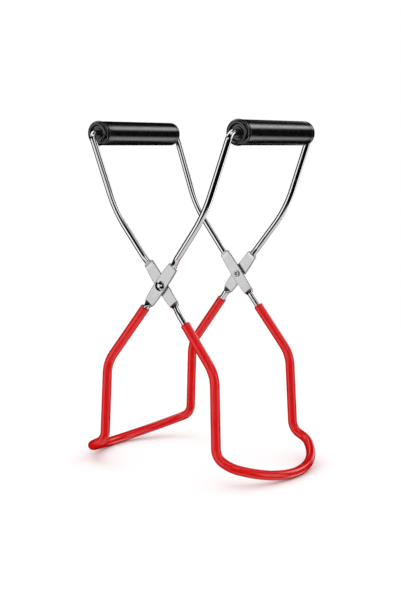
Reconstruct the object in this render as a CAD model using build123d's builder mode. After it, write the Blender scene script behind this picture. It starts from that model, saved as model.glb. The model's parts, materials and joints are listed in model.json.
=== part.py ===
from build123d import *
import os
from dataclasses import dataclass
from math import cos, radians, sin, sqrt

# Jar lifter: two crossed wire frames, riveted together at a front and a back pivot, each with a
# turning grip at its top and a coated half-round jaw at its foot.
# Frame: +Z up, +Y along the pivot axis, +X across the jaws. The origin is midway between the
# rivets in plan and at the height of the lowest point of the jaws. Millimetres.

os.makedirs("parts", exist_ok=True)

# Wire stock and coating
wire_radius = 2.0
sleeve_radius = 3.0
sleeve_end_round = 0.35

# Arm profile, seen along the pivot axis. Leans are degrees from vertical.
arm_lean = 38.0
handle_lean = 20.0
leg_lean = 2.5
pivot_to_bend = 55.8
bend_to_grip = 50.9
pivot_to_knee = 64.1
knee_to_foot = 49.9
bend_radius = 80.0
knee_radius = 22.5
grip_corner_radius = 4.5
wire_end_gap = 1.0

# Jaw: it leaves the feet straight outwards, in a plane that dips outwards
jaw_dip = 25.0
jaw_reach = 32.8
jaw_corner_radius = 12.5
foot_radius = 9.0

# Flattened leaf at each pivot, and the shoulder where it grows back to round wire
leaf_above_pivot = 16.4
leaf_below_pivot = 13.6
leaf_middle_width = 8.2
leaf_end_width = 6.8
leaf_thickness = 1.5
leaf_edge_round = 0.45
shoulder_overlap = 1.2
shoulder_length = 2.4

# Rivets
shank_radius = 1.5
leaf_running_clearance = 0.05
head_radius = 3.2
head_height = 1.5
head_rim = 0.35
tail_radius = 2.15
tail_height = 0.85
tail_clearance = 0.06
tail_recess_radius = 0.95
tail_recess_depth = 1.6
tail_lip_round = 0.6
tail_mouth_round = 0.5

# Grips
grip_length = 80.2
grip_radius = 7.5
grip_bore_radius = 5.8
grip_end_round = 0.5
groove_width = 1.2
groove_radius = 6.6
flange_radius = 7.8
flange_width = 2.6
flange_round = 1.9
flange_back_round = 0.4
flush_rim_radius = 7.48
flush_line_radius = 7.35
flush_back_round = 0.05
moulded_round = 0.3
dish_radius = 5.2
dish_floor_radius = 4.8
dish_depth = 1.7
boss_radius = 3.3
boss_height = 1.0
cap_bore_clearance = 0.06
spigot_length = 6.5
spigot_wall = 1.2
web_thickness = 1.4


@dataclass
class Frame:
    """One wire frame. side is +1 with its jaw on +X; the half widths are wire centres, along Y."""

    name: str
    side: int
    half_at_leaf: float
    half_at_bend: float
    half_at_grip: float
    half_at_knee: float
    half_at_foot: float
    jaw_radius: float
    leaf_hole_radius: float
    front_sleeve_start: float
    back_sleeve_start: float


inner = Frame(
    name="inner",
    side=1,
    half_at_leaf=42.15,
    half_at_bend=43.5,
    half_at_grip=45.2,
    half_at_knee=43.9,
    half_at_foot=45.4,
    jaw_radius=58.5,
    leaf_hole_radius=shank_radius + leaf_running_clearance,
    front_sleeve_start=28.4,
    back_sleeve_start=25.7,
)
outer = Frame(
    name="outer",
    side=-1,
    half_at_leaf=44.05,
    half_at_bend=47.0,
    half_at_grip=46.1,
    half_at_knee=46.5,
    half_at_foot=47.3,
    jaw_radius=61.0,
    leaf_hole_radius=shank_radius,
    front_sleeve_start=17.7,
    back_sleeve_start=22.5,
)


@dataclass
class CapEnd:
    """One end of the grips: a raised rim behind a groove in front, a flush plug at the back."""

    name: str
    end: int
    rim_radius: float
    neck_radius: float
    rim_back_round: float


cap_ends = (
    CapEnd("front", -1, flange_radius, groove_radius, flange_back_round),
    CapEnd("back", 1, flush_rim_radius, flush_line_radius, flush_back_round),
)

# Heights and reaches that follow from the arm profile
bend_x = -pivot_to_bend * sin(radians(arm_lean))
bend_z = pivot_to_bend * cos(radians(arm_lean))
grip_x = bend_x - bend_to_grip * sin(radians(handle_lean))
grip_z = bend_z + bend_to_grip * cos(radians(handle_lean))
knee_x = pivot_to_knee * sin(radians(arm_lean))
knee_z = -pivot_to_knee * cos(radians(arm_lean))
foot_x = knee_x + knee_to_foot * sin(radians(leg_lean))
foot_z = knee_z - knee_to_foot * cos(radians(leg_lean))
pivot_height = jaw_reach * sin(radians(jaw_dip)) + sleeve_radius - foot_z


def spot(frame, out, up, half_width):
    """A point out towards the frame's jaw side, up from the pivot, and along Y."""
    return Vector(frame.side * out, half_width, pivot_height + up)


def arm_spot(frame, along, end):
    """The wire centre at a distance down the arm from the pivot; end is -1 front, +1 back."""
    half = frame.half_at_leaf + (frame.half_at_knee - frame.half_at_leaf) * along / pivot_to_knee
    return spot(frame, along * sin(radians(arm_lean)), -along * cos(radians(arm_lean)), end * half)


def jaw_spot(frame, reach, half_width):
    """A point in the jaw's plane, at a distance outwards from the line of the feet."""
    out = foot_x + reach * cos(radians(jaw_dip))
    return spot(frame, out, foot_z - reach * sin(radians(jaw_dip)), half_width)


def handle_route(frame):
    """The front wire from its free end inside the grip, down to the top of the front leaf."""
    rise = (leaf_above_pivot + shoulder_length) / pivot_to_bend
    half_at_shoulder = frame.half_at_leaf + (frame.half_at_bend - frame.half_at_leaf) * rise
    return [
        spot(frame, grip_x, grip_z, -wire_end_gap / 2),
        spot(frame, grip_x, grip_z, -frame.half_at_grip),
        spot(frame, bend_x, bend_z, -frame.half_at_bend),
        spot(frame, bend_x * rise, bend_z * rise, -half_at_shoulder),
    ]


def jaw_route(frame, front_start, back_start):
    """The wire from the front arm, round the jaw, to the back arm.

    The jaw's broad arc spans 90 degrees, so its tangents meet at 45 degrees in front of it.
    """
    tip = jaw_reach + frame.jaw_radius * (sqrt(2) - 1)
    corner = tip - frame.half_at_foot
    return [
        arm_spot(frame, front_start, -1),
        spot(frame, knee_x, knee_z, -frame.half_at_knee),
        spot(frame, foot_x, foot_z, -frame.half_at_foot),
        jaw_spot(frame, corner, -frame.half_at_foot),
        jaw_spot(frame, tip, 0),
        jaw_spot(frame, corner, frame.half_at_foot),
        spot(frame, foot_x, foot_z, frame.half_at_foot),
        spot(frame, knee_x, knee_z, frame.half_at_knee),
        arm_spot(frame, back_start, 1),
    ]


def jaw_radii(frame):
    """Centreline radius at each corner of jaw_route."""
    half = [knee_radius, foot_radius, jaw_corner_radius]
    return half + [frame.jaw_radius] + half[::-1]


def leaf_plane(frame):
    """Middle plane of the front leaf: X up the arm, Z outwards to the front."""
    up_arm = Vector(-frame.side * sin(radians(arm_lean)), 0, cos(radians(arm_lean)))
    return Plane(origin=spot(frame, 0, 0, -frame.half_at_leaf), x_dir=up_arm, z_dir=(0, -1, 0))


def cross_plane(frame, along):
    """Plane across the front leaf, at a distance up the arm; its X is the leaf's width."""
    middle = leaf_plane(frame)
    return Plane(origin=middle.from_local_coords((along, 0, 0)), x_dir=middle.y_dir, z_dir=middle.x_dir)


def make_frame_wire(frame):
    """One bent wire with its two pressed and drilled leaves."""
    with BuildPart() as frame_wire:
        # Front leaf, with rounded long edges
        with BuildSketch(leaf_plane(frame).offset(-leaf_thickness / 2)):
            top, foot = leaf_above_pivot, -leaf_below_pivot
            middle = (top + foot) / 2
            half_end = leaf_end_width / 2
            half_middle = leaf_middle_width / 2
            with BuildLine():
                ThreePointArc((foot, half_end), (middle, half_middle), (top, half_end))
                Line((top, half_end), (top, -half_end))
                ThreePointArc((top, -half_end), (middle, -half_middle), (foot, -half_end))
                Line((foot, -half_end), (foot, half_end))
            make_face()
        extrude(amount=leaf_thickness)
        fillet(frame_wire.edges().filter_by(GeomType.CIRCLE), leaf_edge_round)

        # Handle half: wire end, grip corner, arm bend
        with BuildLine() as handle_line:
            FilletPolyline(*handle_route(frame), radius=[grip_corner_radius, bend_radius])
        with BuildSketch(handle_line.line ^ 0):
            Circle(wire_radius)
        sweep(path=handle_line.line)

        # Legs and jaw in one run from the front leaf to the back leaf
        arm_start = leaf_below_pivot + shoulder_length
        with BuildLine() as jaw_line:
            FilletPolyline(*jaw_route(frame, arm_start, arm_start), radius=jaw_radii(frame))

        # Shoulders that grow from the leaf to the round wire
        shoulder_starts = (leaf_above_pivot - shoulder_overlap, shoulder_overlap - leaf_below_pivot)
        for start, wire_end in zip(shoulder_starts, (handle_line.line ^ 1, jaw_line.line ^ 0)):
            with BuildSketch(cross_plane(frame, start)):
                Ellipse(leaf_end_width / 2 - leaf_edge_round, leaf_thickness / 2)
            with BuildSketch(wire_end):
                Circle(wire_radius)
            loft()
        mirror(about=Plane.XZ)

        with BuildSketch(jaw_line.line ^ 0):
            Circle(wire_radius)
        sweep(path=jaw_line.line)

        with Locations(Plane((0, 0, pivot_height), z_dir=(0, 1, 0))):
            Cylinder(frame.leaf_hole_radius, 3 * frame.half_at_leaf, mode=Mode.SUBTRACT)
    frame_wire.part.label = f"{frame.name}_frame_wire"
    export_step(frame_wire.part, f"parts/{frame_wire.part.label}.step")


def make_jaw_sleeve(frame):
    """The vinyl coating from one arm, down the leg, round the jaw and up to the other arm."""
    starts = (frame.front_sleeve_start, frame.back_sleeve_start)
    with BuildPart() as jaw_sleeve:
        with BuildLine() as sleeve_line:
            FilletPolyline(*jaw_route(frame, *starts), radius=jaw_radii(frame))
        with BuildSketch(sleeve_line.line ^ 0):
            Circle(sleeve_radius)
            Circle(wire_radius, mode=Mode.SUBTRACT)
        sweep(path=sleeve_line.line)
        end_faces = jaw_sleeve.faces().filter_by(GeomType.PLANE)
        fillet([face.outer_wire().edge() for face in end_faces], sleeve_end_round)
    jaw_sleeve.part.label = f"{frame.name}_jaw_sleeve"
    export_step(jaw_sleeve.part, f"parts/{jaw_sleeve.part.label}.step")


def grip_section_plane(frame, end):
    """Plane for grip profiles: X is the radius from the wire, Y runs along it towards one end."""
    return Plane(origin=spot(frame, grip_x, grip_z, 0), x_dir=(0, 0, 1), z_dir=(-end, 0, 0))


def grip_axis(frame):
    """The straight handle wire, on which the grip turns."""
    return Axis(spot(frame, grip_x, grip_z, 0), (0, 1, 0))


def make_grip_tube(frame):
    """The hollow grip between its two end caps."""
    tube_length = grip_length - 2 * (flange_width + groove_width)
    wall = grip_radius - grip_bore_radius
    with BuildPart() as grip_tube:
        with BuildSketch(grip_section_plane(frame, 1)) as section:
            with Locations((grip_radius - wall / 2, 0)):
                Rectangle(wall, tube_length)
            fillet(section.vertices().group_by(Axis.X)[-1], grip_end_round)
        revolve(axis=grip_axis(frame))
    grip_tube.part.label = f"{frame.name}_grip_tube"
    export_step(grip_tube.part, f"parts/{grip_tube.part.label}.step")


def make_grip_cap(frame, cap_end):
    """An end cap: dished rim, neck, hollow spigot in the tube, running bore on the wire."""
    face = grip_length / 2
    neck = face - flange_width
    tube_end = neck - groove_width
    spigot_end = tube_end - spigot_length
    spigot_inside = grip_bore_radius - spigot_wall
    dish_floor = face - dish_depth
    boss_face = dish_floor + boss_height
    web_inside = dish_floor - web_thickness
    bore = wire_radius + cap_bore_clearance
    with BuildPart() as grip_cap:
        with BuildSketch(grip_section_plane(frame, cap_end.end)) as section:
            with BuildLine():
                Polyline(
                    (bore, web_inside),
                    (spigot_inside, web_inside),
                    (spigot_inside, spigot_end),
                    (grip_bore_radius, spigot_end),
                    (grip_bore_radius, tube_end),
                    (cap_end.neck_radius, tube_end),
                    (cap_end.neck_radius, neck),
                    (cap_end.rim_radius, neck),
                    (cap_end.rim_radius, face),
                    (dish_radius, face),
                    (dish_floor_radius, dish_floor),
                    (boss_radius, dish_floor),
                    (boss_radius, boss_face),
                    (bore, boss_face),
                    close=True,
                )
            make_face()
            rounds = {
                (cap_end.rim_radius, face): flange_round,
                (cap_end.rim_radius, neck): cap_end.rim_back_round,
                (dish_radius, face): moulded_round,
                (dish_floor_radius, dish_floor): moulded_round,
                (boss_radius, boss_face): moulded_round,
            }
            for corner, radius in rounds.items():
                fillet(section.vertices().sort_by_distance(corner)[0], radius)
        revolve(axis=grip_axis(frame))
    grip_cap.part.label = f"{frame.name}_{cap_end.name}_grip_cap"
    export_step(grip_cap.part, f"parts/{grip_cap.part.label}.step")


def make_pivot_rivet(end_name, end):
    """A semi-tubular rivet: domed head outside the outer leaf, rolled tail inside the inner leaf."""
    head_face = outer.half_at_leaf + leaf_thickness / 2
    tail_face = inner.half_at_leaf - leaf_thickness / 2 - tail_clearance
    tail_end = tail_face - tail_height
    recess_floor = tail_end + tail_recess_depth
    with BuildPart() as pivot_rivet:
        with BuildSketch(Plane((0, 0, pivot_height), x_dir=(0, 0, 1), z_dir=(-end, 0, 0))) as section:
            with BuildLine():
                TangentArc(
                    (0, head_face + head_height), (head_radius, head_face + head_rim), tangent=(1, 0)
                )
                Polyline(
                    (head_radius, head_face + head_rim),
                    (head_radius, head_face),
                    (shank_radius, head_face),
                    (shank_radius, tail_face),
                    (tail_radius, tail_face),
                    (tail_radius, tail_end),
                    (tail_recess_radius, tail_end),
                    (tail_recess_radius, recess_floor),
                    (0, recess_floor),
                    (0, head_face + head_height),
                )
            make_face()
            rounds = {
                (tail_radius, tail_end): tail_lip_round,
                (tail_recess_radius, tail_end): tail_mouth_round,
            }
            for corner, radius in rounds.items():
                fillet(section.vertices().sort_by_distance(corner)[0], radius)
        revolve(axis=Axis((0, 0, pivot_height), (0, 1, 0)))
    pivot_rivet.part.label = f"{end_name}_pivot_rivet"
    export_step(pivot_rivet.part, f"parts/{pivot_rivet.part.label}.step")


for frame in (inner, outer):
    make_frame_wire(frame)
    make_jaw_sleeve(frame)
    make_grip_tube(frame)
for cap_end in cap_ends:
    for frame in (inner, outer):
        make_grip_cap(frame, cap_end)
    make_pivot_rivet(cap_end.name, cap_end.end)
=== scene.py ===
import json
from math import cos, pi, radians, sin, sqrt, tan

import bmesh
import bpy
import numpy as np
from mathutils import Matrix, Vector, noise


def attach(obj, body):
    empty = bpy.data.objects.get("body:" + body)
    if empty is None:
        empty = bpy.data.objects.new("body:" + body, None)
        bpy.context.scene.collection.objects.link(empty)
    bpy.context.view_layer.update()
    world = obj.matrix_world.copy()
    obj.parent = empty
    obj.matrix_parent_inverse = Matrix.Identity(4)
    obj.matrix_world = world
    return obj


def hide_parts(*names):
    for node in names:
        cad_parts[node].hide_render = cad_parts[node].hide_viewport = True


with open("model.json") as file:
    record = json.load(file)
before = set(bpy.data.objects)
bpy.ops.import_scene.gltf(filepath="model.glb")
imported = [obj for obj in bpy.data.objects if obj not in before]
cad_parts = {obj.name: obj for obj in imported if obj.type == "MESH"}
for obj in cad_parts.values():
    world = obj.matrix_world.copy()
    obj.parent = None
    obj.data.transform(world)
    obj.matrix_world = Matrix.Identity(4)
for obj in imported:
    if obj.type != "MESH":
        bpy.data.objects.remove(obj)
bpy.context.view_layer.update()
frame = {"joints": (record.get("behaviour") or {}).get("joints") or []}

# Jar lifter: two riveted wire frames with red dipped jaws and black turning grips.
# Everything is in metres, in the CAD frame: +Z up, +Y along the pivot axis, +X across the jaws.

MM = 0.001
# points round a wire or a sleeve
RING = 48

# ---------------------------------------------------------------- places, from the frame
joints = {joint["name"]: joint for joint in frame["joints"]}
pivot = Vector(joints["jaw_pivot"]["pos_m"])
grip_centre = {
    "inner": Vector(joints["inner_grip_spin"]["pos_m"]),
    "outer": Vector(joints["outer_grip_spin"]["pos_m"]),
}

# ---------------------------------------------------------------- driving dimensions
wire_radius = 2.0 * MM
sleeve_radius = 3.0 * MM

arm_lean = radians(38.0)
leg_lean = radians(2.5)
pivot_to_bend = 55.8 * MM
pivot_to_knee = 64.1 * MM
knee_to_foot = 49.9 * MM
bend_radius = 80.0 * MM
knee_radius = 22.5 * MM
grip_corner_radius = 4.5 * MM
wire_end_gap = 1.0 * MM

# steps along a wire's route: round its arcs, along its runs, and near the leaves
route_arc_step = radians(3)
route_run_step = 2.5 * MM
fine_step = 0.25 * MM
leaf_reach = 22 * MM
sleeve_end_reach = 34 * MM
twist_clear = 20 * MM

jaw_dip = radians(25.0)
jaw_reach = 32.8 * MM
jaw_corner_radius = 12.5 * MM
foot_radius = 9.0 * MM

leaf_above_pivot = 16.4 * MM
leaf_below_pivot = 13.6 * MM
leaf_half_middle = 4.1 * MM
leaf_half_end = 3.4 * MM
leaf_half_thick = 0.75 * MM
leaf_crown = 0.08 * MM
leaf_bow = 0.4 * MM
leaf_edge_round = 0.45 * MM
shoulder_half_thick = 1.35 * MM
shoulder_extra_round = 0.5 * MM
# where the leaf ends along the arm, from the pivot up and down, and the lengths of its ends
leaf_top = 17.4 * MM
leaf_top_ramp = 3.8 * MM
sharp_leaf_top = 15.9 * MM
sharp_leaf_ramp = 0.8 * MM
leaf_step = 0.9 * MM
leaf_foot = -16.8 * MM
leaf_foot_ramp = 3.6 * MM
# the wire's line is pulled to the leaf's place as far as this, and let go by settled_to
settled_from = 15 * MM
settled_to = 22 * MM

# dipped skin: its inset from full size, its flow marks, the lip and bead at each end, and the reach of
# the painted shade by each lip
skin_gap = 0.01 * MM
sleeve_inset = 0.05 * MM
flow_height = 0.045 * MM
flow_rate = 55
lip_length = 0.45 * MM
lip_depth_share = 0.8
lip_shade_reach = 1.5 * MM
bead_height = 0.04 * MM
bead_place = 0.9 * MM
bead_width = 0.7 * MM

shank_radius = 1.5 * MM
leaf_hole_clearance = 0.05 * MM
drill_length = 110 * MM
head_radius = 3.2 * MM
head_rim = 0.35 * MM
head_rise = 1.15 * MM
dome_steps = 12
tail_radius = 2.15 * MM
tail_height = 0.85 * MM
tail_clearance = 0.06 * MM
recess_mouth_radius = 0.95 * MM
recess_foot_radius = 0.85 * MM
recess_wall_depth = 1.5 * MM
recess_depth = 1.7 * MM

grip_half = 40.1 * MM
grip_radius = 7.5 * MM
grip_bore_radius = 5.8 * MM
flange_width = 2.6 * MM
groove_width = 1.2 * MM
spigot_length = 6.5 * MM
spigot_wall = 1.2 * MM
web_thickness = 1.4 * MM
cap_bore_clearance = 0.06 * MM
cap_gap = 0.02 * MM
rim_round = 1.9 * MM
dish_radius = 5.2 * MM
dish_floor_radius = 4.8 * MM
dish_depth = 1.7 * MM
boss_radius = 3.3 * MM
boss_height = 1.0 * MM
# the front cap has a raised rim behind a groove, the back one is a flush plug: (end along Y, rim
# radius, neck radius, round behind the rim)
CAP_ENDS = {
    "front": (-1, 7.8 * MM, 6.6 * MM, 0.4 * MM),
    "back": (1, 7.48 * MM, 7.35 * MM, 0.04 * MM),
}

# side is +1 with the jaw on +X; half widths are wire centres along Y, at each named place
FRAMES = {
    "inner": dict(side=1, leaf=42.15, bend=43.5, grip=45.2, knee=43.9, foot=45.4, jaw=58.5,
                  front_sleeve=28.4, back_sleeve=25.7, hole=shank_radius + leaf_hole_clearance),
    "outer": dict(side=-1, leaf=44.05, bend=47.0, grip=46.1, knee=46.5, foot=47.3, jaw=61.0,
                  front_sleeve=17.7, back_sleeve=22.5, hole=shank_radius + skin_gap),
}


# ---------------------------------------------------------------- routes and sweeps
def rounded(corners, arc_step, run_step):
    """Points along straight runs joined by tangent arcs. corners are (point, radius)."""
    points = [corners[0][0].copy()]

    def run_to(target):
        start = points[-1].copy()
        pieces = max(1, round((target - start).length / run_step))
        for k in range(1, pieces + 1):
            points.append(start.lerp(target, k / pieces))

    for before, (corner, radius), after in zip(corners, corners[1:], corners[2:]):
        back = (before[0] - corner).normalized()
        ahead = (after[0] - corner).normalized()
        turn = pi - back.angle(ahead)
        if radius <= 0 or turn < 1e-4:
            run_to(corner)
            continue
        run_to(corner + back * radius * tan(turn / 2))
        centre = corner + (back + ahead).normalized() * radius / cos(turn / 2)
        first = points[-1] - centre
        last = corner + ahead * radius * tan(turn / 2) - centre
        steps = max(2, round(turn / arc_step))
        for k in range(1, steps + 1):
            share = k / steps
            arm = first * sin((1 - share) * turn) + last * sin(share * turn)
            points.append(centre + arm / sin(turn))
    run_to(corners[-1][0])
    return points


def spot(frame_size, out, up, half_width, end):
    """A point out towards the frame's jaw side, up from the pivot, at a wire half width."""
    return pivot + Vector((frame_size["side"] * out, end * half_width * MM, up))


def frame_corners(name, end):
    """Corners of one half of a frame's wire, from its free end in the grip to the jaw's tip."""
    size = FRAMES[name]
    handle = grip_centre[name] - pivot
    bend_out, bend_up = -pivot_to_bend * sin(arm_lean), pivot_to_bend * cos(arm_lean)
    knee_out, knee_up = pivot_to_knee * sin(arm_lean), -pivot_to_knee * cos(arm_lean)
    foot_out = knee_out + knee_to_foot * sin(leg_lean)
    foot_up = knee_up - knee_to_foot * cos(leg_lean)
    tip = jaw_reach + size["jaw"] * MM * (sqrt(2) - 1)
    corner = tip - size["foot"] * MM

    def jaw_spot(reach, half_width):
        return spot(size, foot_out + reach * cos(jaw_dip), foot_up - reach * sin(jaw_dip),
                    half_width, end)

    handle_out = size["side"] * handle.x
    return [
        (spot(size, handle_out, handle.z, wire_end_gap / 2 / MM, end), 0),
        (spot(size, handle_out, handle.z, size["grip"], end), grip_corner_radius),
        (spot(size, bend_out, bend_up, size["bend"], end), bend_radius),
        (spot(size, 0, 0, size["leaf"], end), 0),
        (spot(size, knee_out, knee_up, size["knee"], end), knee_radius),
        (spot(size, foot_out, foot_up, size["foot"], end), foot_radius),
        (jaw_spot(corner, size["foot"]), jaw_corner_radius),
        (jaw_spot(tip, 0), size["jaw"] * MM),
    ]


def whole_route(name):
    """The wire's centre line, from its front free end round the jaw to its back free end."""
    front = frame_corners(name, -1)
    back = frame_corners(name, 1)
    corners = front + back[-2::-1]
    return rounded(corners, route_arc_step, route_run_step)


def refine(points, centres, reach, step):
    """Puts points every step along the stretches within reach of the centres."""
    made = [points[0]]
    for a, b in zip(points, points[1:]):
        near = any((a.lerp(b, 0.5) - c).length < reach for c in centres)
        pieces = max(1, round((b - a).length / step)) if near else 1
        for k in range(1, pieces + 1):
            made.append(a.lerp(b, k / pieces))
    return made


def steady_frames(points, marks):
    """Two axes across the line at each point, without twist, and with the first axis turned to
    +Y at each marked index; the little turn this takes is spread between the marks."""
    line = np.array([tuple(p) for p in points])
    tangent = np.gradient(line, axis=0)
    tangent /= np.linalg.norm(tangent, axis=1)[:, None]
    length = np.concatenate([[0], np.cumsum(np.linalg.norm(np.diff(line, axis=0), axis=1))])
    side = np.cross(tangent[0], (1.0, 0.0, 0.0))
    axes = []
    for k, along in enumerate(tangent):
        side = side - along * (side @ along)
        side = side / np.linalg.norm(side)
        axes.append(side)
    first = np.array(axes)
    second = np.cross(tangent, first)
    turns = []
    for mark in marks:
        turns.append(np.arctan2(second[mark][1], first[mark][1]))
    if marks:
        turns = np.unwrap(turns)
        stops = []
        for mark in marks:
            stops += [length[mark] - twist_clear, length[mark] + twist_clear]
        twist = np.interp(length, stops, np.repeat(turns, 2))
        turned = first * np.cos(twist)[:, None] + second * np.sin(twist)[:, None]
        first, second = turned, np.cross(tangent, turned)
    return line, first, second, length


def new_mesh(name, vertices, faces, attributes=None):
    """A smooth-shaded mesh object; attributes are {name: per-vertex numbers or vectors}."""
    mesh = bpy.data.meshes.new(name)
    mesh.from_pydata([tuple(v) for v in vertices], [], faces)
    for label, values in (attributes or {}).items():
        values = np.asarray(values, np.float32)
        kind, key = ("FLOAT_VECTOR", "vector") if values.ndim == 2 else ("FLOAT", "value")
        mesh.attributes.new(label, kind, "POINT").data.foreach_set(key, values.ravel())
    mesh.polygons.foreach_set("use_smooth", [True] * len(mesh.polygons))
    mesh.update()
    piece = bpy.data.objects.new(name, mesh)
    bpy.context.scene.collection.objects.link(piece)
    return piece


def skin(rings, ring_size, closed):
    """Quads between rings; a closed skin joins the last ring to the first, others get end fans."""
    faces = []
    count = len(rings) if closed else len(rings) - 1
    for k in range(count):
        a, b = k * ring_size, (k + 1) % len(rings) * ring_size
        for i in range(ring_size):
            j = (i + 1) % ring_size
            faces.append((a + i, a + j, b + j, b + i))
    if not closed:
        last = (len(rings) - 1) * ring_size
        faces.append(tuple(range(ring_size))[::-1])
        faces.append(tuple(last + i for i in range(ring_size)))
    return faces


# ---------------------------------------------------------------- pieces
def smooth(low, high, value):
    """0 below low, 1 above high, and an even curve between them."""
    share = np.clip((value - low) / (high - low), 0, 1)
    return share * share * (3 - 2 * share)


def leaf_ring(half_wide, half_thick, edge_round):
    """A rounded rectangle with RING points, thin along the first axis. Its points pair with those
    of a circle that starts on the first axis."""
    flat, bend = 5, 5
    short = RING // 4 - flat - bend
    core_thick, core_wide = half_thick - edge_round, half_wide - edge_round
    quadrant = [(half_thick, core_wide * k / flat) for k in range(flat)]
    for k in range(bend + 1):
        turn = pi / 2 * k / bend
        quadrant.append((core_thick + edge_round * cos(turn), core_wide + edge_round * sin(turn)))
    quadrant += [(core_thick * (1 - k / short), half_wide) for k in range(1, short)]
    quadrant = np.array(quadrant)
    half = np.vstack([quadrant, [(0.0, half_wide)], quadrant[:0:-1] * (-1, 1)])
    return np.vstack([half, -half])


def make_wire(name):
    """The bent wire: round stock, pressed flat into a leaf at both pivots."""
    size = FRAMES[name]
    middles = [spot(size, 0, 0, size["leaf"], end) for end in (-1, 1)]
    points = refine(whole_route(name), middles, leaf_reach, fine_step)
    marks = [min(range(len(points)), key=lambda k: (points[k] - m).length) for m in middles]
    line, first, second, length = steady_frames(points, marks)

    # Distance from the nearer pivot, positive towards the handle
    from_front, from_back = length[marks[0]] - length, length - length[marks[1]]
    front = np.abs(from_front) < np.abs(from_back)
    climb = np.where(front, from_front, from_back)

    # The outer frame's front leaf ends above in a sharp step, the others in a ramp and a step
    sharp = front & (size["side"] < 0)
    top = np.where(sharp, sharp_leaf_top, leaf_top)
    ramp = np.where(sharp, sharp_leaf_ramp, leaf_top_ramp)
    thin = np.clip((top - climb) / ramp, 0, 1) * np.clip((climb - leaf_foot) / leaf_foot_ramp, 0, 1)
    wide = 1 - smooth(top - leaf_step, top, climb)
    wide = wide * smooth(leaf_foot, leaf_foot + leaf_foot_ramp, climb)

    # The leaf lies flat across the pivot axis, but for a slight bow of its ends towards +Y
    settle = 1 - smooth(settled_from, settled_to, np.abs(climb))
    line[:, 1] += settle * (np.sign(line[:, 1]) * size["leaf"] * MM - line[:, 1])
    line[:, 1] += settle * leaf_bow * np.clip(climb / settled_from, -1, 1) ** 2

    middle = (leaf_above_pivot - leaf_below_pivot) / 2
    spread = np.clip((climb - middle) / (middle + leaf_below_pivot), -1, 1) ** 2
    angle = 2 * pi * np.arange(RING) / RING
    circle = wire_radius * np.stack([np.cos(angle), np.sin(angle)], 1)
    vertices, wire_coord = [], []
    for k in range(len(line)):
        section = circle
        if wide[k] > 0:
            half_wide = leaf_half_middle + (leaf_half_end - leaf_half_middle) * spread[k]
            half_thick = leaf_half_thick - leaf_crown * spread[k]
            half_thick += (shoulder_half_thick - half_thick) * (1 - thin[k])
            edge_round = leaf_edge_round + shoulder_extra_round * (1 - thin[k])
            section = circle + (leaf_ring(half_wide, half_thick, edge_round) - circle) * wide[k]
        vertices.append(line[k] + section[:, :1] * first[k] + section[:, 1:] * second[k])
        wire_coord.append(np.column_stack([section, np.full(RING, length[k])]))
    wire = new_mesh(
        f"{name}_wire",
        np.concatenate(vertices),
        skin(line, RING, closed=False),
        {
            "wire_coord": np.concatenate(wire_coord),
            "satin": np.repeat(wide, RING),
            # flat marks the leaves' flat faces, which the wire material paints darker as painted shade
            "flat": np.repeat(wide * smooth(0.55, 1.0, thin), RING),
        },
    )
    drill(wire, size["hole"])
    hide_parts(f"{name}_frame_wire")
    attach(wire, f"{name}_frame")
    return wire


def drill(piece, radius):
    """Cuts the rivet hole through both leaves, along the pivot axis."""
    tool_mesh = bpy.data.meshes.new("drill")
    tool = bpy.data.objects.new("drill", tool_mesh)
    bpy.context.scene.collection.objects.link(tool)
    bm = bmesh.new()
    bmesh.ops.create_cone(bm, cap_ends=True, segments=48, radius1=radius, radius2=radius,
                          depth=drill_length)
    bm.to_mesh(tool_mesh)
    bm.free()
    tool.rotation_euler = (pi / 2, 0, 0)
    tool.location = (pivot.x, 0, pivot.z)
    cut = piece.modifiers.new("hole", "BOOLEAN")
    cut.operation = "DIFFERENCE"
    cut.solver = "EXACT"
    cut.object = tool
    bpy.context.view_layer.update()
    evaluated = piece.evaluated_get(bpy.context.evaluated_depsgraph_get())
    piece.data = bpy.data.meshes.new_from_object(evaluated)
    piece.modifiers.clear()
    bpy.data.objects.remove(tool)


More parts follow.
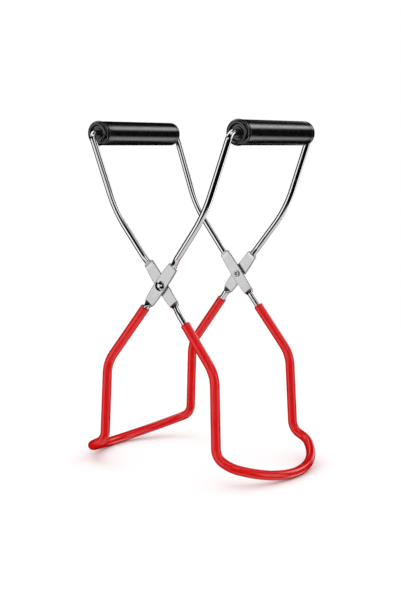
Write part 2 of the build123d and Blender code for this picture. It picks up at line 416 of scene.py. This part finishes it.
def make_sleeve(name):
    """The dipped vinyl: a skin of nearly even thickness that ends in a soft lip on each arm."""
    size = FRAMES[name]
    middles = [spot(size, 0, 0, size["leaf"], end) for end in (-1, 1)]
    points = refine(whole_route(name), middles, sleeve_end_reach, fine_step)
    marks = [min(range(len(points)), key=lambda k: (points[k] - m).length) for m in middles]
    line, first, second, length = steady_frames(points, marks)
    start = length[marks[0]] + size["front_sleeve"] * MM
    stop = length[marks[1]] - size["back_sleeve"] * MM
    kept = [k for k in range(len(line)) if start <= length[k] <= stop]

    inside = wire_radius + skin_gap
    angle = 2 * pi * np.arange(RING) / RING
    ring_way = np.stack([np.cos(angle), np.sin(angle)], 1)
    # edge gathers, ring by ring, how much painted shade the vinyl gets near each lip
    vertices, wire_coord, edge = [], [], []

    def add_ring(k, radius, painted_shade_share):
        radii = np.full(RING, radius)
        vertices.append(
            line[k] + (ring_way[:, :1] * first[k] + ring_way[:, 1:] * second[k]) * radii[:, None]
        )
        wire_coord.append(np.column_stack([ring_way * radius, np.full(RING, length[k])]))
        edge.append(np.full(RING, painted_shade_share))

    def outside_radius(k):
        end_gap = min(length[k] - start, stop - length[k])
        share = min(1.0, max(0.0, end_gap / lip_length))
        rise = sqrt(max(0.0, 1 - (1 - share) ** 2))
        bead = bead_height * np.exp(-(((end_gap - bead_place) / bead_width) ** 2))
        flow = noise.noise(Vector((length[k] * flow_rate, size["side"] * 3.1, 0.7)))
        full = sleeve_radius - sleeve_inset + flow_height * flow + bead
        return full - lip_length * lip_depth_share * (1 - rise)

    for k in kept:
        end_gap = min(length[k] - start, stop - length[k])
        # the outer rings carry a painted shade that grows towards each lip
        add_ring(k, outside_radius(k), np.exp(-end_gap / lip_shade_reach))
    for k in reversed(kept):
        add_ring(k, inside, 0.0)
    sleeve = new_mesh(
        f"{name}_sleeve",
        np.concatenate(vertices),
        skin(vertices, RING, closed=True),
        {"wire_coord": np.concatenate(wire_coord), "painted_lip_shade": np.concatenate(edge)},
    )
    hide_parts(f"{name}_jaw_sleeve")
    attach(sleeve, f"{name}_frame")
    return sleeve


def lathe(name, corners, centre, end, segments=96, closed=True):
    """Turns a rounded profile about the line through centre along Y. Corners are (radius from the
    axis, distance towards the end, rounding); an open profile starts and ends on the axis."""
    points = [(Vector((radius, along, 0)), rounding) for radius, along, rounding in corners]
    if closed:
        middle = points[0][0].lerp(points[-1][0], 0.5)
        points = [(middle, 0)] + points + [(middle, 0)]
    profile = rounded(points, radians(11), 6 * MM)
    if closed:
        profile = profile[:-1]
    vertices, turned = [], []
    for point in profile:
        for i in range(segments):
            turn = 2 * pi * i / segments
            vertices.append(centre + Vector((point.x * cos(turn), end * point.y, point.x * sin(turn))))
            turned.append((point.x * cos(turn), point.y, point.x * sin(turn)))
    faces = []
    count = len(profile) if closed else len(profile) - 1
    for k in range(count):
        a, b = k * segments, (k + 1) % len(profile) * segments
        for i in range(segments):
            j = (i + 1) % segments
            face = (a + i, a + j, b + j, b + i)
            faces.append(face if end > 0 else face[::-1])
    piece = new_mesh(name, vertices, faces, {"turned": turned})
    if not closed:
        bm = bmesh.new()
        bm.from_mesh(piece.data)
        bmesh.ops.remove_doubles(bm, verts=bm.verts, dist=1e-7)
        bm.to_mesh(piece.data)
        bm.free()
    return piece


def make_grip(name):
    """A hollow grip tube and its two dished end caps."""
    centre = grip_centre[name]
    body = f"{name}_grip"
    half_tube = grip_half - flange_width - groove_width
    tube = lathe(
        f"{name}_grip_barrel",
        [
            (grip_bore_radius, -half_tube, 0.1 * MM),
            (grip_radius, -half_tube, 0.5 * MM),
            (grip_radius, half_tube, 0.5 * MM),
            (grip_bore_radius, half_tube, 0.1 * MM),
        ],
        centre,
        1,
        segments=128,
    )
    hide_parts(f"{name}_grip_tube")
    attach(tube, body)
    face = grip_half
    neck = face - flange_width
    tube_end = neck - groove_width
    floor = face - dish_depth
    boss = floor + boss_height
    web = floor - web_thickness
    bore = wire_radius + cap_bore_clearance
    spigot_outside = grip_bore_radius - skin_gap
    spigot_inside = grip_bore_radius - spigot_wall
    caps = []
    for end_name, (end, rim_radius, neck_radius, back_round) in CAP_ENDS.items():
        cap = lathe(
            f"{name}_{end_name}_cap",
            [
                (bore, boss, 0.12 * MM),
                (bore, web, 0.1 * MM),
                (spigot_inside, web, 0.2 * MM),
                (spigot_inside, tube_end - spigot_length, 0.2 * MM),
                (spigot_outside, tube_end - spigot_length, 0.3 * MM),
                (spigot_outside, tube_end + cap_gap, 0),
                (neck_radius, tube_end + cap_gap, 0.05 * MM),
                (neck_radius, neck, 0.04 * MM),
                (rim_radius, neck, back_round),
                (rim_radius, face, rim_round),
                (dish_radius, face, 0.3 * MM),
                (dish_floor_radius, floor, 0.4 * MM),
                (boss_radius, floor, 0.25 * MM),
                (boss_radius, boss, 0.3 * MM),
            ],
            centre,
            end,
        )
        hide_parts(f"{name}_{end_name}_grip_cap")
        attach(cap, body)
        caps.append(cap)
    return tube, caps


def make_rivet(end_name, end):
    """A semi-tubular rivet: domed head outside, rolled hollow tail inside."""
    head_face = FRAMES["outer"]["leaf"] * MM + leaf_half_thick
    tail_face = FRAMES["inner"]["leaf"] * MM - leaf_half_thick - tail_clearance
    tail_end = tail_face - tail_height
    dome_radius = (head_radius**2 + head_rise**2) / (2 * head_rise)
    top = head_face + head_rim + head_rise
    dome = []
    for k in range(dome_steps + 1):
        turn = np.arcsin(head_radius / dome_radius) * k / dome_steps
        dome.append((dome_radius * sin(turn), top - dome_radius * (1 - cos(turn)), 0))
    corners = dome + [
        (head_radius, head_face, 0.12 * MM),
        (shank_radius, head_face, 0),
        (shank_radius, tail_face, 0),
        (tail_radius, tail_face, 0.2 * MM),
        (tail_radius, tail_end, 0.62 * MM),
        (recess_mouth_radius, tail_end, 0.5 * MM),
        (recess_foot_radius, tail_end + recess_wall_depth, 0.2 * MM),
        (0, tail_end + recess_depth, 0),
    ]
    rivet = lathe(f"{end_name}_rivet", corners, Vector((pivot.x, 0, pivot.z)), end, 72, closed=False)
    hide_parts(f"{end_name}_pivot_rivet")
    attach(rivet, "outer_frame")
    return rivet


# ---------------------------------------------------------------- materials
class Shader:
    """A node material around one Principled shader, with short calls for what is used here."""

    def __init__(self, name):
        self.material = bpy.data.materials.new(name)
        self.material.use_nodes = True
        self.nodes = self.material.node_tree.nodes
        self.links = self.material.node_tree.links
        self.surface = self.nodes["Principled BSDF"]
        self.bumps = []

    def add(self, kind, **settings):
        node = self.nodes.new(kind)
        for key, value in settings.items():
            setattr(node, key, value)
        return node

    def put(self, socket, value):
        """Links another node's output to the socket, or sets it to a plain value."""
        if isinstance(value, bpy.types.NodeSocket):
            self.links.new(value, socket)
        else:
            socket.default_value = value

    def attribute(self, name, output="Vector"):
        return self.add("ShaderNodeAttribute", attribute_name=name).outputs[output]

    def place(self):
        return self.add("ShaderNodeTexCoord").outputs["Object"]

    def scaled(self, vector, scale):
        node = self.add("ShaderNodeMapping")
        self.put(node.inputs["Vector"], vector)
        node.inputs["Scale"].default_value = scale
        return node.outputs["Vector"]

    def noise(self, vector, scale=1.0, detail=3.0):
        node = self.add("ShaderNodeTexNoise")
        self.put(node.inputs["Vector"], vector)
        node.inputs["Scale"].default_value = scale
        node.inputs["Detail"].default_value = detail
        node.inputs["Roughness"].default_value = 0.55
        return node.outputs["Fac"]

    def ramp(self, value, low, high, out_low=0.0, out_high=1.0):
        """An even curve from out_low at low to out_high at high."""
        node = self.add("ShaderNodeMapRange", interpolation_type="SMOOTHSTEP")
        for key, number in zip(("Value", "From Min", "From Max", "To Min", "To Max"),
                               (value, low, high, out_low, out_high)):
            self.put(node.inputs[key], number)
        return node.outputs["Result"]

    def math(self, operation, a, b):
        node = self.add("ShaderNodeMath", operation=operation)
        self.put(node.inputs[0], a)
        self.put(node.inputs[1], b)
        return node.outputs["Value"]

    def mix(self, share, a, b):
        """A colour between a and b, which are colours or outputs."""
        node = self.add("ShaderNodeMix", data_type="RGBA")
        self.put(node.inputs["Factor"], share)
        for socket, value in ((node.inputs[6], a), (node.inputs[7], b)):
            self.put(socket, (*value, 1.0) if isinstance(value, tuple) else value)
        return node.outputs[2]

    def blend(self, share, a, b):
        """A number between a and b."""
        node = self.add("ShaderNodeMix", data_type="FLOAT")
        self.put(node.inputs["Factor"], share)
        self.put(node.inputs[2], a)
        self.put(node.inputs[3], b)
        return node.outputs[0]

    def bump(self, height, depth):
        """Adds a relief of that depth in metres on top of the earlier ones."""
        node = self.add("ShaderNodeBump")
        node.inputs["Strength"].default_value = 1.0
        node.inputs["Distance"].default_value = depth
        self.put(node.inputs["Height"], height)
        if self.bumps:
            self.put(node.inputs["Normal"], self.bumps[-1])
        self.bumps.append(node.outputs["Normal"])
        self.put(self.surface.inputs["Normal"], self.bumps[-1])

    def set(self, **sockets):
        """Sets the surface's own sockets, with _ for each space in a socket's name."""
        for key, value in sockets.items():
            self.put(self.surface.inputs[key.replace("_", " ")], value)

    def dress(self, *pieces):
        for piece in pieces:
            piece.data.materials.clear()
            piece.data.materials.append(self.material)


def plated_wire():
    """Bright plated wire with faint drawing lines; the pressed leaves are satin, and their flat faces
    get a darker base colour that is painted shade.
    """
    shader = Shader("plated_wire")
    along = shader.attribute("wire_coord")
    satin = shader.attribute("satin", "Fac")
    lines = shader.noise(shader.scaled(along, (2600, 2600, 60)), detail=1)
    cloud = shader.noise(along, scale=140, detail=3)
    smudge = shader.ramp(shader.noise(along, scale=60, detail=4), 0.5, 0.72)
    grain = shader.noise(shader.scaled(along, (900, 900, 5200)), detail=3)
    press = shader.noise(along, scale=420, detail=2)
    bright = shader.mix(cloud, (0.86, 0.86, 0.865), (0.93, 0.93, 0.935))
    # painted shade: the leaves' flat faces are painted a darker grey, with random press marks in it
    painted_leaf_shade = shader.mix(press, (0.58, 0.58, 0.585), (0.70, 0.70, 0.705))
    shader.set(Base_Color=shader.mix(shader.attribute("flat", "Fac"), bright, painted_leaf_shade), Metallic=1.0)
    polished = shader.math("ADD", shader.ramp(lines, 0.3, 0.7, 0.02, 0.05),
                           shader.math("MULTIPLY", smudge, 0.05))
    brushed = shader.ramp(grain, 0.25, 0.75, 0.22, 0.30)
    shader.set(Roughness=shader.blend(satin, polished, brushed))
    shader.bump(lines, 0.0012 * MM)
    shader.bump(shader.math("MULTIPLY", grain, satin), 0.0016 * MM)
    shader.bump(shader.math("MULTIPLY", press, satin), 0.010 * MM)
    return shader


def red_vinyl():
    """Glossy dipped vinyl: a deep red skin with orange peel, flow marks, a few scuffs and a painted
    shade, darker red, near each lip.
    """
    shader = Shader("red_vinyl")
    along = shader.attribute("wire_coord")
    painted_lip_shade = shader.attribute("painted_lip_shade", "Fac")
    cloud = shader.noise(along, scale=220, detail=3)
    peel = shader.noise(along, scale=900, detail=2)
    flow = shader.noise(shader.scaled(along, (160, 160, 90)), detail=2)
    scuffs = shader.ramp(shader.noise(shader.scaled(along, (700, 700, 2200)), detail=5), 0.66, 0.74)
    base = shader.mix(cloud, (0.60, 0.002, 0.003), (0.68, 0.005, 0.006))
    # painted shade: the red darkens towards each lip of the sleeve
    base = shader.mix(shader.math("MULTIPLY", painted_lip_shade, 0.35), base, (0.40, 0.004, 0.006))
    base = shader.mix(shader.math("MULTIPLY", scuffs, 0.16), base, (0.74, 0.10, 0.09))
    shader.set(Base_Color=base, Metallic=0.0, IOR=1.5, Coat_Weight=0.2, Coat_Roughness=0.05)
    rough = shader.ramp(cloud, 0.3, 0.7, 0.12, 0.19)
    shader.set(Roughness=shader.math("ADD", rough, shader.math("MULTIPLY", scuffs, 0.25)))
    shader.bump(peel, 0.006 * MM)
    shader.bump(flow, 0.06 * MM)
    return shader


def black_plastic(name, rough_low, rough_high):
    """Moulded black plastic, semi-gloss, with fine grain and hairline scratches."""
    shader = Shader(name)
    turned = shader.attribute("turned")
    cloud = shader.noise(turned, scale=120, detail=3)
    grain = shader.noise(turned, scale=4200, detail=2)
    scratch = shader.noise(shader.scaled(turned, (260, 5200, 260)), detail=4)
    scratches = shader.ramp(scratch, 0.68, 0.76)
    base = shader.mix(cloud, (0.0018, 0.0018, 0.002), (0.0045, 0.0045, 0.005))
    shader.set(Base_Color=shader.mix(shader.math("MULTIPLY", scratches, 0.2), base, (0.03, 0.03, 0.03)))
    shader.set(Metallic=0.0, IOR=1.5, Specular_IOR_Level=0.95)
    rough = shader.ramp(cloud, 0.3, 0.7, rough_low, rough_high)
    shader.set(Roughness=shader.math("ADD", rough, shader.math("MULTIPLY", scratches, 0.12)))
    shader.bump(grain, 0.0010 * MM)
    shader.bump(shader.noise(turned, scale=300, detail=1), 0.006 * MM)
    return shader


def rivet_steel():
    """Bright tumbled steel with turning marks and small dents."""
    shader = Shader("rivet_steel")
    turned = shader.attribute("turned")
    rings = shader.noise(shader.scaled(turned, (300, 9000, 300)), detail=2)
    dents = shader.noise(turned, scale=1500, detail=2)
    shader.set(Base_Color=shader.mix(dents, (0.66, 0.66, 0.67), (0.82, 0.82, 0.83)), Metallic=1.0)
    shader.set(Roughness=shader.ramp(rings, 0.3, 0.7, 0.10, 0.18))
    shader.bump(dents, 0.003 * MM)
    shader.bump(rings, 0.0004 * MM)
    return shader


# ---------------------------------------------------------------- studio
camera_place = (0.4325, -0.6318, pivot.z + 0.0842)
camera_down = 7.28
camera_turn = 34.44
camera_lens = 72.64
film_width = 36.0
floor_radius = 0.6


def make_camera():
    """A long lens level with the grips, looking slightly down."""
    camera_data = bpy.data.cameras.new("camera")
    camera_data.lens = camera_lens
    camera_data.sensor_width = film_width
    camera_data.clip_start = 0.01
    camera_data.clip_end = 20.0
    camera = bpy.data.objects.new("camera", camera_data)
    camera.location = camera_place
    camera.rotation_euler = (radians(90 - camera_down), 0, radians(camera_turn))
    bpy.context.scene.collection.objects.link(camera)
    bpy.context.scene.camera = camera


def make_floor():
    """A pale round floor under the object, which reflections don't show."""
    floor_mesh = bpy.data.meshes.new("floor")
    floor = bpy.data.objects.new("floor", floor_mesh)
    bpy.context.scene.collection.objects.link(floor)
    bm = bmesh.new()
    bmesh.ops.create_circle(bm, cap_ends=True, segments=96, radius=floor_radius)
    bm.to_mesh(floor_mesh)
    bm.free()
    shader = Shader("pale_floor")
    cloud = shader.noise(shader.place(), scale=8)
    shader.set(Base_Color=shader.mix(cloud, (0.97, 0.97, 0.97), (0.985, 0.985, 0.985)), Roughness=0.9)
    shader.dress(floor)
    floor.visible_glossy = False


# Soft boxes and cards of the studio, in degrees round the object and above the horizon:
# (azimuth, elevation, half width, half height, soft edge, brightness)
PANELS = [
    (-33, -4, 19, 20, 8, 1.34),
    (8, 3, 12, 8, 6, 1.5),
    (106, 2, 17, 22, 8, 1.5),
    (64, 36, 16, 10, 8, 1.3),
    (120, 52, 55, 10, 12, 0.5),
    (-95, 50, 45, 22, 12, 1.6),
    (25, 66, 45, 9, 8, 1.6),
    (80, -64, 110, 20, 8, 0.8),
    (-20, -42, 12, 8, 5, 1.0),
    (157, 28, 13, 8, 8, 3.6),
    (148, -30, 18, 10, 9, 2.2),
    (-172, 8, 16, 12, 6, 1.4),
]
# Light between the panels, and the extra even light that only diffuse surfaces receive
CARD_GLOW = 0.004
DIFFUSE_FILL = 1.12


def make_world():
    """A dark studio with soft boxes round the object; the camera itself sees a white backdrop."""
    world = bpy.data.worlds.new("studio")
    world.use_nodes = True
    bpy.context.scene.world = world
    tree = world.node_tree
    tree.nodes.clear()

    def add(kind, **settings):
        node = tree.nodes.new(kind)
        for key, value in settings.items():
            setattr(node, key, value)
        return node

    def math(operation, a, b=0.0):
        node = add("ShaderNodeMath", operation=operation)
        for socket, value in zip(node.inputs, (a, b)):
            if isinstance(value, bpy.types.NodeSocket):
                tree.links.new(value, socket)
            else:
                socket.default_value = value
        return node.outputs[0]

    way = add("ShaderNodeTexCoord").outputs["Generated"]
    parts = add("ShaderNodeSeparateXYZ")
    tree.links.new(way, parts.inputs[0])
    x, y, z = parts.outputs
    elevation = math("ARCSINE", z)
    total = CARD_GLOW
    for azimuth, height, half_width, half_height, soft, brightness in PANELS:
        a = radians(azimuth)
        ahead = math("SUBTRACT", math("MULTIPLY", x, sin(a)), math("MULTIPLY", y, cos(a)))
        aside = math("ADD", math("MULTIPLY", x, cos(a)), math("MULTIPLY", y, sin(a)))
        turn = math("ABSOLUTE", math("ARCTAN2", aside, ahead))
        rise = math("ABSOLUTE", math("SUBTRACT", elevation, radians(height)))
        edge = radians(soft)
        wide = math("DIVIDE", math("SUBTRACT", radians(half_width) + edge / 2, turn), edge)
        tall = math("DIVIDE", math("SUBTRACT", radians(half_height) + edge / 2, rise), edge)
        wide.node.use_clamp = True
        tall.node.use_clamp = True
        mask = math("MULTIPLY", wide, tall)
        total = math("ADD", total, math("MULTIPLY", mask, brightness))
    rays = add("ShaderNodeLightPath").outputs
    total = math("ADD", total, math("MULTIPLY", rays["Is Diffuse Ray"], DIFFUSE_FILL))
    studio = add("ShaderNodeBackground")
    tree.links.new(total, studio.inputs["Strength"])
    white = add("ShaderNodeBackground")
    white.inputs["Color"].default_value = (1, 1, 1, 1)
    white.inputs["Strength"].default_value = 1.0
    choice = add("ShaderNodeMixShader")
    tree.links.new(rays["Is Camera Ray"], choice.inputs[0])
    tree.links.new(studio.outputs[0], choice.inputs[1])
    tree.links.new(white.outputs[0], choice.inputs[2])
    out = add("ShaderNodeOutputWorld")
    tree.links.new(choice.outputs[0], out.inputs["Surface"])
    bpy.context.scene.view_settings.view_transform = "Standard"


# ---------------------------------------------------------------- the whole
wires = [make_wire(name) for name in FRAMES]
sleeves = [make_sleeve(name) for name in FRAMES]
grips = [make_grip(name) for name in FRAMES]
rivets = [make_rivet("front", -1), make_rivet("back", 1)]

plated_wire().dress(*wires)
red_vinyl().dress(*sleeves)
black_plastic("grip_plastic", 0.17, 0.23).dress(*[tube for tube, caps in grips])
black_plastic("grip_cap_plastic", 0.13, 0.19).dress(*[cap for tube, caps in grips for cap in caps])
rivet_steel().dress(*rivets)

make_camera()
make_floor()
make_world()
